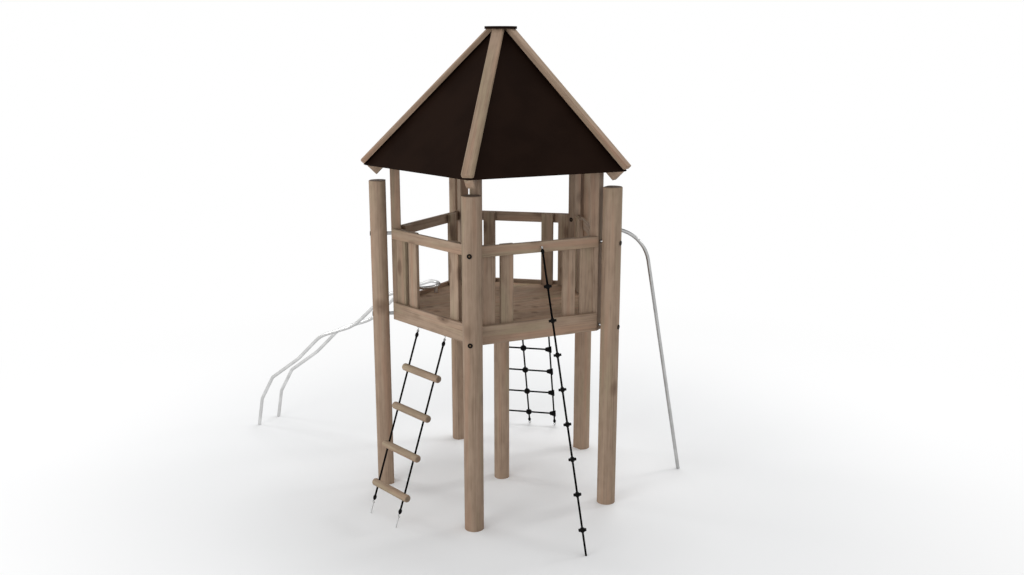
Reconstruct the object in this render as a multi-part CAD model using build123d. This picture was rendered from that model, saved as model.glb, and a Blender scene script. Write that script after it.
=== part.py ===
from build123d import *
import math
import os

# Play tower on a pentagon of round posts: a raised deck with a slatted guard, a five-sided
# roof, a rope ladder, a knotted climbing rope, a climbing net, a sliding pole and twin wavy
# sliding rails. Millimetres, +Z up. The origin is the middle of the centre post's foot, and
# the front post stands on -Y.

# Layout: corners are numbered anticlockwise from the front post, sides from the front right
SIDES = 5
FRONT_ANGLE = -90.0
STEP_ANGLE = 360.0 / SIDES
HALF_ANGLE = math.radians(STEP_ANGLE / 2)
CORNER_NAMES = ["front", "right", "back_right", "back_left", "left"]
SIDE_NAMES = ["front_right", "right", "back", "left", "front_left"]

# Round posts, each with a flat planed on the side that faces the deck
POST_CIRCLE_RADIUS = 997.0
POST_DIAMETER = 150.0
POST_HEIGHT = 2614.0
POST_FLAT_DEPTH = 15.0
POST_CHAMFER = 4.0
CENTRE_POST_DIAMETER = 130.0

# Steel distance pieces that hold the deck frame off the posts
SPACER_LENGTH = 36.0
SPACER_DIAMETER = 28.0
LOWER_SPACER_ABOVE_BEAM_FOOT = 45.0

# Corner uprights, square timbers that carry rails, beams and rafters
UPRIGHT_WIDTH = 78.0
UPRIGHT_DEPTH = 79.0
TIMBER_CHAMFER = 4.0

# Deck, beams and guard
DECK_HEIGHT = 1575.0
FLOOR_THICKNESS = 30.0
BEAM_HEIGHT = 147.0
BEAM_THICKNESS = 30.0
BEAM_ABOVE_FLOOR = 32.0
JOIST_WIDTH = 45.0
GUARD_HEIGHT = 647.0
RAIL_HEIGHT = 84.0
RAIL_THICKNESS = 30.0
SLAT_WIDTH = 105.0
SLAT_THICKNESS = 33.0
SLAT_GAP = 46.0
CLIMB_OPENING = 424.0
WAVE_OPENING = 568.0
SLAT_TOP_SETBACK = 3.0

# Roof
HIP_SLOPE = math.radians(45.0)
EAVE_ABOVE_POSTS = 131.0
EAVE_APOTHEM = 898.0
PANEL_THICKNESS = 13.0
RAFTER_WIDTH = 68.0
RAFTER_DEPTH = 116.0
RAFTER_SETBACK = 16.0
RAFTER_EASE = 6.0
COVER_WIDTH = 90.0
COVER_THICKNESS = 38.0
COVER_SETBACK = 8.0
COVER_CORNER = 13.0
COVER_EASE = 9.0
COVER_END_EASE = 6.0
APEX_PLATE_DIAMETER = 257.0
APEX_PLATE_THICKNESS = 20.0
APEX_PLATE_OVERHANG = 15.0

# Steel tubes to slide down
TUBE_DIAMETER = 30.0
POLE_BEND_RADIUS = 340.0
POLE_FOOT_RADIUS = 1579.0
POLE_SHOULDER_RADIUS = 1199.0
WAVE_SPACING = 275.0
WAVE_HAIRPIN_RADIUS = 662.0
WAVE_TOP_ABOVE_FLOOR = 59.0
WAVE_LEVEL_RUN = 8.0
WAVE_FOOT_RADIUS = 2717.0
WAVE_HAIRPIN_BEND = 0.95
WAVE_TOP_BEND = 60.0
WAVE_BENDS = [250.0, 600.0, 400.0, 600.0, 60.0, 60.0]
WAVE_POINT_RATIOS = [
    (0.158, 0.932),
    (0.350, 0.728),
    (0.559, 0.637),
    (0.709, 0.473),
    (0.889, 0.324),
    (0.969, 0.174),
]

# Ropes, ladder, net and their anchors
ROPE_DIAMETER = 16.0
FERRULE_DIAMETER = 29.0
FERRULE_LENGTH = 42.0
FERRULE_NARROW_DIAMETER = 13.0
FERRULE_SHOULDERS = (0.3, 0.6)
PIN_DIAMETER = 8.0
TOP_PIN_LENGTH = 44.0
LADDER_ANCHOR_LENGTH = 78.0
NET_ANCHOR_LENGTH = 12.0
LADDER_FOOT_RADIUS = 1260.0
LADDER_ROPE_SPACING = 345.0
LADDER_RUNGS = 4
LADDER_BOTTOM_RUNG = 232.0
LADDER_TOP_STEP = 323.0
RUNG_DIAMETER = 60.0
RUNG_LENGTH = 448.0
RUNG_ROUNDING = 9.0
ROUNDING_STEPS = 2
KNOT_ROPE_FOOT_RADIUS = 1557.0
KNOT_ROPE_STANDOFF = 24.0
KNOTS = 8
KNOT_BOTTOM = 178.0
KNOT_TOP_GAP = 282.0
KNOT_DIAMETER = 60.0
KNOT_THICKNESS = 20.0
KNOT_HUB_LENGTH = 36.0
KNOT_HUB_DIAMETER = 27.0
NET_FOOT_RADIUS = 1301.0
NET_COLUMN_SPACING = 252.0
NET_ROWS = 5
NET_BOTTOM_ROW = 142.0
NET_TOP_GAP = 327.0
NET_BLOCK_WIDTH = 54.0
NET_BLOCK_THICKNESS = 24.0
NET_EDGE_BLOCK_HEIGHT = 62.0

# Fits
SEAT_GAP = 0.3
ROPE_CLEARANCE = 0.3
MITRE_GAP = 2.0

# Sizes worked out from the ones above
POST_RADIUS = POST_DIAMETER / 2
POST_FLAT_RADIUS = POST_CIRCLE_RADIUS - POST_RADIUS + POST_FLAT_DEPTH
UPRIGHT_OUTER = POST_FLAT_RADIUS - SPACER_LENGTH
UPRIGHT_INNER = UPRIGHT_OUTER - UPRIGHT_DEPTH
WALL_APOTHEM = UPRIGHT_OUTER * math.cos(HALF_ANGLE) + UPRIGHT_WIDTH / 2 * math.sin(HALF_ANGLE)
BEAM_TOP = DECK_HEIGHT + BEAM_ABOVE_FLOOR
BEAM_BOTTOM = BEAM_TOP - BEAM_HEIGHT
RAIL_TOP = DECK_HEIGHT + GUARD_HEIGHT
RAIL_BOTTOM = RAIL_TOP - RAIL_HEIGHT
RAIL_MIDDLE = (RAIL_TOP + RAIL_BOTTOM) / 2
EAVE_HEIGHT = POST_HEIGHT + EAVE_ABOVE_POSTS
EAVE_CORNER = EAVE_APOTHEM / math.cos(HALF_ANGLE)
FACE_SLOPE = math.atan(math.tan(HIP_SLOPE) / math.cos(HALF_ANGLE))
HIP_FALL = math.sin(HIP_SLOPE) * math.tan(HALF_ANGLE)
RIDGE_DROP = PANEL_THICKNESS * math.sqrt(1 + HIP_FALL ** 2)
BEAM_MIDDLE_APOTHEM = WALL_APOTHEM - BEAM_THICKNESS / 2
COVER_TOP_OFFSET = SEAT_GAP + COVER_THICKNESS
APEX_PLATE_HEIGHT = (
    EAVE_HEIGHT
    + (EAVE_CORNER - APEX_PLATE_DIAMETER / 2 + APEX_PLATE_OVERHANG) * math.tan(HIP_SLOPE)
    + COVER_TOP_OFFSET / math.cos(HIP_SLOPE)
)


def save(shape, node):
    """Write one piece, or one set of like pieces, as a STEP file."""
    export_step(shape, f"parts/{node}.step")


def corner_angle(k):
    return FRONT_ANGLE + k * STEP_ANGLE


def side_angle(k):
    return FRONT_ANGLE + (k + 0.5) * STEP_ANGLE


def turned(shape, angle):
    return Rot(0, 0, angle) * shape


def prism(points, bottom, top):
    """A plan outline stood up between two heights."""
    outline = make_face(Polyline(*points, close=True))
    return Pos(0, 0, bottom) * extrude(outline, amount=top - bottom)


def board_end(apothem):
    """Half the length of a side board at this apothem, where it meets the upright's flank."""
    reach = apothem * math.tan(HALF_ANGLE) - UPRIGHT_WIDTH / 2 / math.cos(HALF_ANGLE)
    return reach - SEAT_GAP / math.cos(HALF_ANGLE)


def side_board(thickness, bottom, top):
    """A rail or beam of one side, its long edges eased and its ends cut to the uprights."""
    outer = WALL_APOTHEM
    inner = WALL_APOTHEM - thickness
    points = [
        (outer, -board_end(outer)),
        (outer, board_end(outer)),
        (inner, board_end(inner)),
        (inner, -board_end(inner)),
    ]
    board = prism(points, bottom, top)
    return chamfer(board.edges().filter_by(Axis.Y), TIMBER_CHAMFER)


def corner_post():
    """A round post with one planed flat, which faces the deck."""
    round_post = Pos(POST_CIRCLE_RADIUS, 0, 0) * Cylinder(
        POST_RADIUS, POST_HEIGHT, align=(Align.CENTER, Align.CENTER, Align.MIN)
    )
    rims = round_post.edges().filter_by(GeomType.CIRCLE).group_by(Axis.Z)[-1]
    round_post = chamfer(rims, POST_CHAMFER)
    planed_off = Pos(POST_FLAT_RADIUS, 0, 0) * Box(
        POST_DIAMETER, 2 * POST_DIAMETER, POST_HEIGHT, align=(Align.MAX, Align.CENTER, Align.MIN)
    )
    return round_post - planed_off


def hip_plane(above_ridge, setback):
    """The section plane of a timber on a hip, which starts that far up from the roof's corner."""
    corner = Vector(EAVE_CORNER, 0, EAVE_HEIGHT)
    up_slope = Vector(-math.cos(HIP_SLOPE), 0, math.sin(HIP_SLOPE))
    outward = Vector(math.sin(HIP_SLOPE), 0, math.cos(HIP_SLOPE))
    origin = corner + outward * above_ridge + up_slope * setback
    return Plane(origin=origin, x_dir=(0, -1, 0), z_dir=up_slope)


def wedge(gap):
    """The plan sector of one side or corner, less half of the gap to its neighbour."""
    reach = 2 * POST_CIRCLE_RADIUS
    start = gap / 2 / math.sin(HALF_ANGLE)
    far = start + reach
    points = [(start, 0), (far, reach * math.tan(HALF_ANGLE)), (far, -reach * math.tan(HALF_ANGLE))]
    return prism(points, 0, 2 * APEX_PLATE_HEIGHT)


def below(height):
    """Everything under this height."""
    size = 4 * POST_CIRCLE_RADIUS
    return Pos(0, 0, height) * Box(size, size, 2 * height, align=(Align.CENTER, Align.CENTER, Align.MAX))


def foot_edges(timber, plane):
    """The edges round the lower end of a timber that runs along the plane's normal."""
    return timber.faces().sort_by(Axis(plane.origin, plane.z_dir))[0].edges()


def rafter():
    """A hip rafter: its top is bevelled to both roof panels, its foot is cut square."""
    half = RAFTER_WIDTH / 2
    section = [
        (0, 0),
        (half, -half * HIP_FALL),
        (half, RAFTER_EASE - RAFTER_DEPTH),
        (half - RAFTER_EASE, -RAFTER_DEPTH),
        (RAFTER_EASE - half, -RAFTER_DEPTH),
        (-half, RAFTER_EASE - RAFTER_DEPTH),
        (-half, -half * HIP_FALL),
    ]
    plane = hip_plane(-RIDGE_DROP - SEAT_GAP, RAFTER_SETBACK)
    outline = plane * make_face(Polyline(*section, close=True))
    length = EAVE_CORNER / math.cos(HIP_SLOPE) - RAFTER_SETBACK
    timber = extrude(outline, amount=length, dir=plane.z_dir)
    timber = chamfer(foot_edges(timber, plane), TIMBER_CHAMFER)
    return timber & wedge(MITRE_GAP) & below(APEX_PLATE_HEIGHT - SEAT_GAP)


def hip_cover():
    """The board over the joint of two roof panels, lying on their ridge line."""
    plane = hip_plane(COVER_TOP_OFFSET, COVER_SETBACK)
    length = EAVE_CORNER / math.cos(HIP_SLOPE) - COVER_SETBACK
    half = COVER_WIDTH / 2
    section = [
        (COVER_EASE - half, 0),
        (half - COVER_EASE, 0),
        (half, -COVER_EASE),
        (half, -COVER_THICKNESS),
        (-half, -COVER_THICKNESS),
        (-half, -COVER_EASE),
    ]
    board = extrude(plane * make_face(Polyline(*section, close=True)), amount=length, dir=plane.z_dir)
    board = chamfer(foot_edges(board, plane), COVER_END_EASE)
    face = Plane(origin=plane.origin, x_dir=plane.z_dir, z_dir=plane.y_dir)
    plan = [
        (0, half - COVER_CORNER),
        (COVER_CORNER, half),
        (length, half),
        (length, -half),
        (COVER_CORNER, -half),
        (0, COVER_CORNER - half),
    ]
    trimmed = extrude(face * make_face(Polyline(*plan, close=True)), amount=COVER_WIDTH, both=True)
    return board & trimmed & below(APEX_PLATE_HEIGHT)


def roof_panel():
    """One flat triangular sheet, mitred to its neighbours and cut off under the apex plate."""
    slope_length = EAVE_APOTHEM / math.cos(FACE_SLOPE)
    half_eave = EAVE_APOTHEM * math.tan(HALF_ANGLE)
    plane = Plane(
        origin=(EAVE_APOTHEM, 0, EAVE_HEIGHT),
        x_dir=(0, 1, 0),
        z_dir=(math.sin(FACE_SLOPE), 0, math.cos(FACE_SLOPE)),
    )
    triangle = plane * make_face(
        Polyline((-half_eave, 0), (half_eave, 0), (0, slope_length), close=True)
    )
    sheet = extrude(triangle, amount=-PANEL_THICKNESS, dir=plane.z_dir)
    return sheet & wedge(MITRE_GAP) & below(APEX_PLATE_HEIGHT - SEAT_GAP)


def corner_upright():
    """A square timber, its top cut to the underside of the rafter that it carries."""
    seat_line = EAVE_CORNER * math.sin(HIP_SLOPE) + EAVE_HEIGHT * math.cos(HIP_SLOPE)
    seat_line -= RIDGE_DROP + RAFTER_DEPTH + 2 * SEAT_GAP
    side_profile = [
        (UPRIGHT_INNER, BEAM_BOTTOM),
        (UPRIGHT_OUTER, BEAM_BOTTOM),
        (UPRIGHT_OUTER, (seat_line - UPRIGHT_OUTER * math.sin(HIP_SLOPE)) / math.cos(HIP_SLOPE)),
        (UPRIGHT_INNER, (seat_line - UPRIGHT_INNER * math.sin(HIP_SLOPE)) / math.cos(HIP_SLOPE)),
    ]
    outline = Plane.XZ * make_face(Polyline(*side_profile, close=True))
    timber = extrude(outline, amount=UPRIGHT_WIDTH / 2, both=True)
    return chamfer(timber.edges().filter_by(Axis.Z), TIMBER_CHAMFER)


def slat_set(side):
    """The slats of one side, standing on the floor behind the beam and the rail.

    The side of the wavy rails has one slat at each end, the other sides have two.
    """
    outer = WALL_APOTHEM - max(RAIL_THICKNESS, BEAM_THICKNESS) - SEAT_GAP
    inner = outer - SLAT_THICKNESS
    opening = WAVE_OPENING if side == "left" else CLIMB_OPENING
    near = opening / 2
    far = near + SLAT_WIDTH
    outlines = [[(outer, near), (outer, far), (inner, far), (inner, near)]]
    if side != "left":
        near = far + SLAT_GAP
        outlines.append([(outer, near), (outer, board_end(outer)), (inner, board_end(inner)), (inner, near)])
    slats = []
    for outline in outlines:
        slat = prism(outline, DECK_HEIGHT + SEAT_GAP, RAIL_TOP - SLAT_TOP_SETBACK)
        slat = chamfer(slat.edges().filter_by(Axis.Z), TIMBER_CHAMFER)
        slats += [slat, mirror(slat, about=Plane.XZ)]
    return Compound(slats)


def deck_floor():
    """The pentagonal floor, notched round the five uprights."""
    apothem = WALL_APOTHEM - BEAM_THICKNESS - SEAT_GAP
    corner = apothem / math.cos(HALF_ANGLE)
    points = [
        (corner * math.cos(math.radians(corner_angle(k))), corner * math.sin(math.radians(corner_angle(k))))
        for k in range(SIDES)
    ]
    floor = prism(points, DECK_HEIGHT - FLOOR_THICKNESS, DECK_HEIGHT)
    notch = Pos(UPRIGHT_INNER - SEAT_GAP, 0, DECK_HEIGHT) * Box(
        2 * UPRIGHT_DEPTH,
        UPRIGHT_WIDTH + 2 * SEAT_GAP,
        4 * FLOOR_THICKNESS,
        align=(Align.MIN, Align.CENTER, Align.CENTER),
    )
    for k in range(SIDES):
        floor = floor - turned(notch, corner_angle(k))
    return floor


def joist():
    """A joist from over the centre post out to the middle of a beam."""
    timber = Pos(0, 0, BEAM_BOTTOM) * Box(
        WALL_APOTHEM - BEAM_THICKNESS - SEAT_GAP,
        JOIST_WIDTH,
        DECK_HEIGHT - FLOOR_THICKNESS - SEAT_GAP - BEAM_BOTTOM,
        align=(Align.MIN, Align.CENTER, Align.MIN),
    )
    return timber & wedge(MITRE_GAP)


def spacer(height):
    """A short steel tube with its bolt, between the post's flat and the upright."""
    plane = Plane(origin=(UPRIGHT_OUTER, 0, height), x_dir=(0, 1, 0), z_dir=(1, 0, 0))
    return extrude(plane * Circle(SPACER_DIAMETER / 2), amount=SPACER_LENGTH, dir=plane.z_dir)


def tube_along(path):
    """A round tube along a line of straights and tangent bends."""
    start = Plane(origin=path @ 0, z_dir=path % 0)
    return sweep(start * Circle(TUBE_DIAMETER / 2), path=path)


def sliding_pole():
    """The pole runs out level from the rail, bends down and leans out to its foot."""
    path = FilletPolyline(
        (WALL_APOTHEM + SEAT_GAP, 0, RAIL_MIDDLE),
        (POLE_SHOULDER_RADIUS, 0, RAIL_MIDDLE),
        (POLE_FOOT_RADIUS, 0, 0),
        radius=POLE_BEND_RADIUS,
    )
    tube = tube_along(path)
    reach = 2 * TUBE_DIAMETER
    under_ground = Pos(POLE_FOOT_RADIUS, 0, 0) * Box(
        reach, reach, reach, align=(Align.CENTER, Align.CENTER, Align.MAX)
    )
    return tube - under_ground


def wavy_rails():
    """Two wavy legs joined by a hairpin over the beam, with a stub that stands on the floor."""
    top = DECK_HEIGHT + WAVE_TOP_ABOVE_FLOOR
    half = WAVE_SPACING / 2
    start = WAVE_HAIRPIN_RADIUS + half + WAVE_LEVEL_RUN
    run = WAVE_FOOT_RADIUS - start
    wave = [(start, top)] + [(start + out * run, up * top) for out, up in WAVE_POINT_RATIOS]
    wave.append((WAVE_FOOT_RADIUS, 0))
    near = [(r, half, z) for r, z in wave]
    far = [(r, -half, z) for r, z in wave]
    hairpin = [(WAVE_HAIRPIN_RADIUS, half, top), (WAVE_HAIRPIN_RADIUS, -half, top)]
    points = near[::-1] + hairpin + far
    leg_bends = [WAVE_TOP_BEND] + WAVE_BENDS
    bends = leg_bends[::-1] + [WAVE_HAIRPIN_BEND * half] * 2 + leg_bends
    tube = tube_along(FilletPolyline(*points, radius=bends))
    stub = Pos(WAVE_HAIRPIN_RADIUS, 0, DECK_HEIGHT + SEAT_GAP) * Cylinder(
        TUBE_DIAMETER / 2, WAVE_TOP_ABOVE_FLOOR, align=(Align.CENTER, Align.CENTER, Align.MIN)
    )
    return (tube + stub) & above_ground()


def above_ground():
    size = 8 * POST_CIRCLE_RADIUS
    return Box(size, size, size, align=(Align.CENTER, Align.CENTER, Align.MIN))


class Line3:
    """A straight pull between two points, for ropes and their fittings."""

    def __init__(self, top, foot):
        self.top = Vector(*top)
        self.foot = Vector(*foot)
        self.length = (self.top - self.foot).length
        self.up = (self.top - self.foot).normalized()

    def at(self, distance):
        """The point that far up from the foot."""
        return self.foot + self.up * distance

    def at_height(self, height):
        return self.at((height - self.foot.Z) / self.up.Z)

    def plane(self, distance):
        return Plane(origin=self.at(distance), x_dir=(0, 1, 0), z_dir=self.up)

    def rod(self, start, end, diameter):
        plane = self.plane(start)
        return extrude(plane * Circle(diameter / 2), amount=end - start, dir=self.up)


def ferrule(plane):
    """The pressed end of a rope: a bulb that starts at the plane and narrows along the normal."""
    near, far = FERRULE_SHOULDERS
    profile = [
        (0, 0),
        (ROPE_DIAMETER / 2, 0),
        (FERRULE_DIAMETER / 2, near * FERRULE_LENGTH),
        (FERRULE_DIAMETER / 2, far * FERRULE_LENGTH),
        (FERRULE_NARROW_DIAMETER / 2, FERRULE_LENGTH),
        (0, FERRULE_LENGTH),
    ]
    turned_shape = revolve(Plane.XZ * make_face(Polyline(*profile, close=True)), Axis.Z)
    return plane * turned_shape


def rope_ends(line, anchor_length):
    """The pressed ends of a rope between a beam and the ground, and where the rope runs."""
    low = anchor_length + FERRULE_LENGTH
    high = line.length - TOP_PIN_LENGTH - FERRULE_LENGTH
    foot = Plane(origin=line.at(low), x_dir=(0, 1, 0), z_dir=-line.up)
    return low, high, [ferrule(foot), ferrule(line.plane(high))]


def anchor_pins(line, anchor_length):
    """The steel pins that hold a rope's pressed ends to the ground and to the beam."""
    foot = line.rod(-PIN_DIAMETER, anchor_length - SEAT_GAP, PIN_DIAMETER)
    head = line.rod(line.length - TOP_PIN_LENGTH + SEAT_GAP, line.length + PIN_DIAMETER, PIN_DIAMETER)
    return [foot & above_ground(), head & below(BEAM_BOTTOM - SEAT_GAP)]


def evenly(bottom, top, count):
    """The heights of like pieces, evenly spaced from the lowest to the highest."""
    return [bottom + (top - bottom) * n / (count - 1) for n in range(count)]


def rounded_bar(diameter, length, rounding):
    """A turned bar along Y with rounded ends, the rounding cut in a few short tapers."""
    half = diameter / 2
    end = []
    for n in range(ROUNDING_STEPS + 1):
        turn = math.radians(90.0 * n / ROUNDING_STEPS)
        across = half - rounding + rounding * math.cos(turn)
        end.append((across, length / 2 - rounding + rounding * math.sin(turn)))
    upper = [(0, length / 2)] + end[::-1]
    lower = [(across, -along) for across, along in reversed(upper)]
    profile = upper + lower
    return revolve(Plane.XY * make_face(Polyline(*profile, close=True)), Axis.Y)


def hanging_line(along, foot_radius):
    """A line from the middle of a beam's underside down to the ground."""
    return Line3((BEAM_MIDDLE_APOTHEM, along, BEAM_BOTTOM), (foot_radius, along, 0))


def rope_ladder():
    """Two ropes with round rungs threaded on them, and their fittings."""
    lines = [hanging_line(hand * LADDER_ROPE_SPACING / 2, LADDER_FOOT_RADIUS) for hand in (-1, 1)]
    ropes = []
    pins = []
    for line in lines:
        low, high, ends = rope_ends(line, LADDER_ANCHOR_LENGTH)
        ropes.append(line.rod(low, high, ROPE_DIAMETER).fuse(*ends))
        pins += anchor_pins(line, LADDER_ANCHOR_LENGTH)
    bar = rounded_bar(RUNG_DIAMETER, RUNG_LENGTH, RUNG_ROUNDING)
    rungs = []
    for height in evenly(LADDER_BOTTOM_RUNG, BEAM_BOTTOM - LADDER_TOP_STEP, LADDER_RUNGS):
        middle = lines[0].at_height(height)
        rung = Pos(middle.X, 0, middle.Z) * bar
        for line in lines:
            rung = rung - line.rod(0, line.length, ROPE_DIAMETER + 2 * ROPE_CLEARANCE)
        rungs.append(rung)
    return Compound(ropes), Compound(rungs), Compound(pins)


def knot():
    """A foothold on the climbing rope: a round plate with a short hub on both sides."""
    plate = KNOT_DIAMETER / 2
    hub = KNOT_HUB_DIAMETER / 2
    bore = ROPE_DIAMETER / 2 + ROPE_CLEARANCE
    section = [
        (bore, -KNOT_HUB_LENGTH / 2),
        (hub, -KNOT_HUB_LENGTH / 2),
        (hub, -KNOT_THICKNESS / 2),
        (plate, -KNOT_THICKNESS / 2),
        (plate, KNOT_THICKNESS / 2),
        (hub, KNOT_THICKNESS / 2),
        (hub, KNOT_HUB_LENGTH / 2),
        (bore, KNOT_HUB_LENGTH / 2),
    ]
    return revolve(Plane.XZ * make_face(Polyline(*section, close=True)), Axis.Z)


def climbing_rope():
    """The rope with its footholds, and the eye that holds it to the rail."""
    top_radius = WALL_APOTHEM + KNOT_ROPE_STANDOFF
    line = Line3((top_radius, 0, RAIL_MIDDLE), (KNOT_ROPE_FOOT_RADIUS, 0, 0))
    eye_reach = PIN_DIAMETER
    high = line.length - eye_reach - SEAT_GAP - FERRULE_LENGTH
    rope = line.rod(-ROPE_DIAMETER, high, ROPE_DIAMETER) & above_ground()
    rope = rope + ferrule(line.plane(high))
    knots = []
    for height in evenly(KNOT_BOTTOM, RAIL_MIDDLE - KNOT_TOP_GAP, KNOTS):
        middle = line.at_height(height)
        knots.append(Plane(origin=middle, x_dir=(0, 1, 0), z_dir=line.up) * knot())
    pin_plane = Plane(origin=(WALL_APOTHEM + SEAT_GAP, 0, RAIL_MIDDLE), x_dir=(0, 1, 0), z_dir=(1, 0, 0))
    pin = extrude(pin_plane * Circle(PIN_DIAMETER / 2), amount=KNOT_ROPE_STANDOFF, dir=pin_plane.z_dir)
    eye = line.rod(line.length - eye_reach, line.length + eye_reach, 2 * PIN_DIAMETER)
    return rope, Compound(knots), pin + eye


def climbing_net():
    """Three ropes down and five across, fused with the blocks that join them where they meet."""
    columns = {c: hanging_line(c * NET_COLUMN_SPACING, NET_FOOT_RADIUS) for c in (-1, 0, 1)}
    pins = []
    bars = []
    for line in columns.values():
        pins += anchor_pins(line, NET_ANCHOR_LENGTH)
        low, high, ends = rope_ends(line, NET_ANCHOR_LENGTH)
        hexagon = line.plane(low) * RegularPolygon(ROPE_DIAMETER / 2, 6)
        bars.append(extrude(hexagon, amount=high - low, dir=line.up))
        bars += ends
    across = 2 * NET_COLUMN_SPACING
    for height in evenly(NET_BOTTOM_ROW, BEAM_BOTTOM - NET_TOP_GAP, NET_ROWS):
        middle = columns[0].at_height(height)
        row = Plane(origin=(middle.X, -NET_COLUMN_SPACING, height), x_dir=columns[0].up, z_dir=(0, 1, 0))
        bars.append(extrude(row * RegularPolygon(ROPE_DIAMETER / 2, 6), amount=across, dir=row.z_dir))
        for c, line in columns.items():
            bars.append(net_block(line, height, c))
    net = bars[0].fuse(*bars[1:])
    return net, Compound(pins)


def net_block(line, height, column):
    """The block over a crossing: eight-sided in the middle, a wedge at the net's two edges."""
    flat = Plane(origin=line.at_height(height), x_dir=(0, 1, 0), z_dir=line.up.cross(Vector(0, 1, 0)))
    if column == 0:
        outline = RegularPolygon(NET_BLOCK_WIDTH / 2, 8)
    else:
        back = column * ROPE_DIAMETER
        front = back - column * NET_BLOCK_WIDTH
        tip = ROPE_DIAMETER / 2
        tall = NET_EDGE_BLOCK_HEIGHT / 2
        outline = make_face(Polyline((back, tall), (back, -tall), (front, -tip), (front, tip), close=True))
    return extrude(flat * outline, amount=NET_BLOCK_THICKNESS / 2, both=True)


os.makedirs("parts", exist_ok=True)

post = corner_post()
upright = corner_upright()
beam = side_board(BEAM_THICKNESS, BEAM_BOTTOM, BEAM_TOP)
rail = side_board(RAIL_THICKNESS, RAIL_BOTTOM, RAIL_TOP)
panel = roof_panel()
for k, name in enumerate(CORNER_NAMES):
    save(turned(post, corner_angle(k)), f"post_{name}")
    save(turned(upright, corner_angle(k)), f"upright_{name}")
for k, name in enumerate(SIDE_NAMES):
    save(turned(beam, side_angle(k)), f"beam_{name}")
    save(turned(slat_set(name), side_angle(k)), f"slats_{name}")
    save(turned(panel, side_angle(k)), f"roof_panel_{name}")

save(Compound([turned(rail, side_angle(k)) for k in range(SIDES)]), "guard_rails")
save(Compound([turned(rafter(), corner_angle(k)) for k in range(SIDES)]), "rafters")
save(Compound([turned(hip_cover(), corner_angle(k)) for k in range(SIDES)]), "hip_covers")
save(Compound([turned(joist(), side_angle(k)) for k in range(SIDES)]), "joists")
save(deck_floor(), "deck_floor")

centre_post = Cylinder(
    CENTRE_POST_DIAMETER / 2, BEAM_BOTTOM - SEAT_GAP, align=(Align.CENTER, Align.CENTER, Align.MIN)
)
save(centre_post, "centre_post")

apex_plate = Pos(0, 0, APEX_PLATE_HEIGHT + SEAT_GAP) * Cylinder(
    APEX_PLATE_DIAMETER / 2, APEX_PLATE_THICKNESS, align=(Align.CENTER, Align.CENTER, Align.MIN)
)
save(apex_plate, "apex_plate")

spacers = []
for k in range(SIDES):
    for height in (RAIL_MIDDLE, BEAM_BOTTOM + LOWER_SPACER_ABOVE_BEAM_FOOT):
        spacers.append(turned(spacer(height), corner_angle(k)))
save(Compound(spacers), "spacer_tubes")

FRONT_RIGHT, RIGHT, BACK, LEFT, FRONT_LEFT = [side_angle(k) for k in range(SIDES)]
save(turned(sliding_pole(), RIGHT), "sliding_pole")
save(turned(wavy_rails(), LEFT), "wavy_rails")

ladder_ropes, ladder_rungs, ladder_pins = rope_ladder()
save(turned(ladder_ropes, FRONT_LEFT), "ladder_ropes")
save(turned(ladder_rungs, FRONT_LEFT), "ladder_rungs")
save(turned(ladder_pins, FRONT_LEFT), "ladder_pins")

knot_rope, rope_knots, rope_holder = climbing_rope()
save(turned(knot_rope, FRONT_RIGHT), "climbing_rope")
save(turned(rope_knots, FRONT_RIGHT), "rope_footholds")
save(turned(rope_holder, FRONT_RIGHT), "rope_holder")

net, net_pins = climbing_net()
save(turned(net, BACK), "climbing_net")
save(turned(net_pins, BACK), "net_pins")
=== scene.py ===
# %% [markdown]
# # A play tower in weathered timber
# The solids come from a CAD model and stay as they are. This lesson gives them procedural
# finishes, then models the small things that CAD leaves out: the lay of the ropes, their pressed
# ends, the bolt caps and the blocks of the net. Everything is in metres, with +Z up and the
# centre post's foot at the origin.

# %% Load the frame
import math

import bpy
from mathutils import Matrix, Vector


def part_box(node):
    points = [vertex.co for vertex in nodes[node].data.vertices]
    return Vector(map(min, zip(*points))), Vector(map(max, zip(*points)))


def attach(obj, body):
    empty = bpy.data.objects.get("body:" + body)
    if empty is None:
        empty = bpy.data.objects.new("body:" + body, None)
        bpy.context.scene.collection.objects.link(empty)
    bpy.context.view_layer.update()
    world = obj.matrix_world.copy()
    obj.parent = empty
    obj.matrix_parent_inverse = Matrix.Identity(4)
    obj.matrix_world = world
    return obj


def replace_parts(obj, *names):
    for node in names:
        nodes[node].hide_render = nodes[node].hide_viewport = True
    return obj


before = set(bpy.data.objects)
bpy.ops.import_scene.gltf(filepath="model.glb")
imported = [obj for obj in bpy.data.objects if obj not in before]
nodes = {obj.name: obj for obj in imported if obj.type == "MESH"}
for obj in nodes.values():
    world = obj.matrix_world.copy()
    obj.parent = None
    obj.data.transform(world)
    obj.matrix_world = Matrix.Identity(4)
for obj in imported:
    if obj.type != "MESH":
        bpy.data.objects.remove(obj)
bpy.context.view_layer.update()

bpy.ops.object.select_all(action="DESELECT")

# %% [markdown]
# ## Where things are
# The tower is a pentagon, so a place on it is told by an angle, a distance from the middle, a
# distance along the side and a height. Corners are numbered from the front post, and side 0 is
# the one to its right. Each place could be typed in as x, y and z, but one place that is turned
# five times can't be wrong on one side only.

# %% Places on the pentagon
SIDES = 5
STEP = math.radians(360 / SIDES)
FRONT = math.radians(-90)
FIRST_SIDE = FRONT + STEP / 2
SIDE = {"front_right": 0, "right": 1, "back": 2, "left": 3, "front_left": 4}


def side_angle(name):
    return FIRST_SIDE + SIDE[name] * STEP


def corner_angle(number):
    return FRONT + number * STEP


def turn(angle):
    return Matrix.Rotation(angle, 4, "Z")


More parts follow.
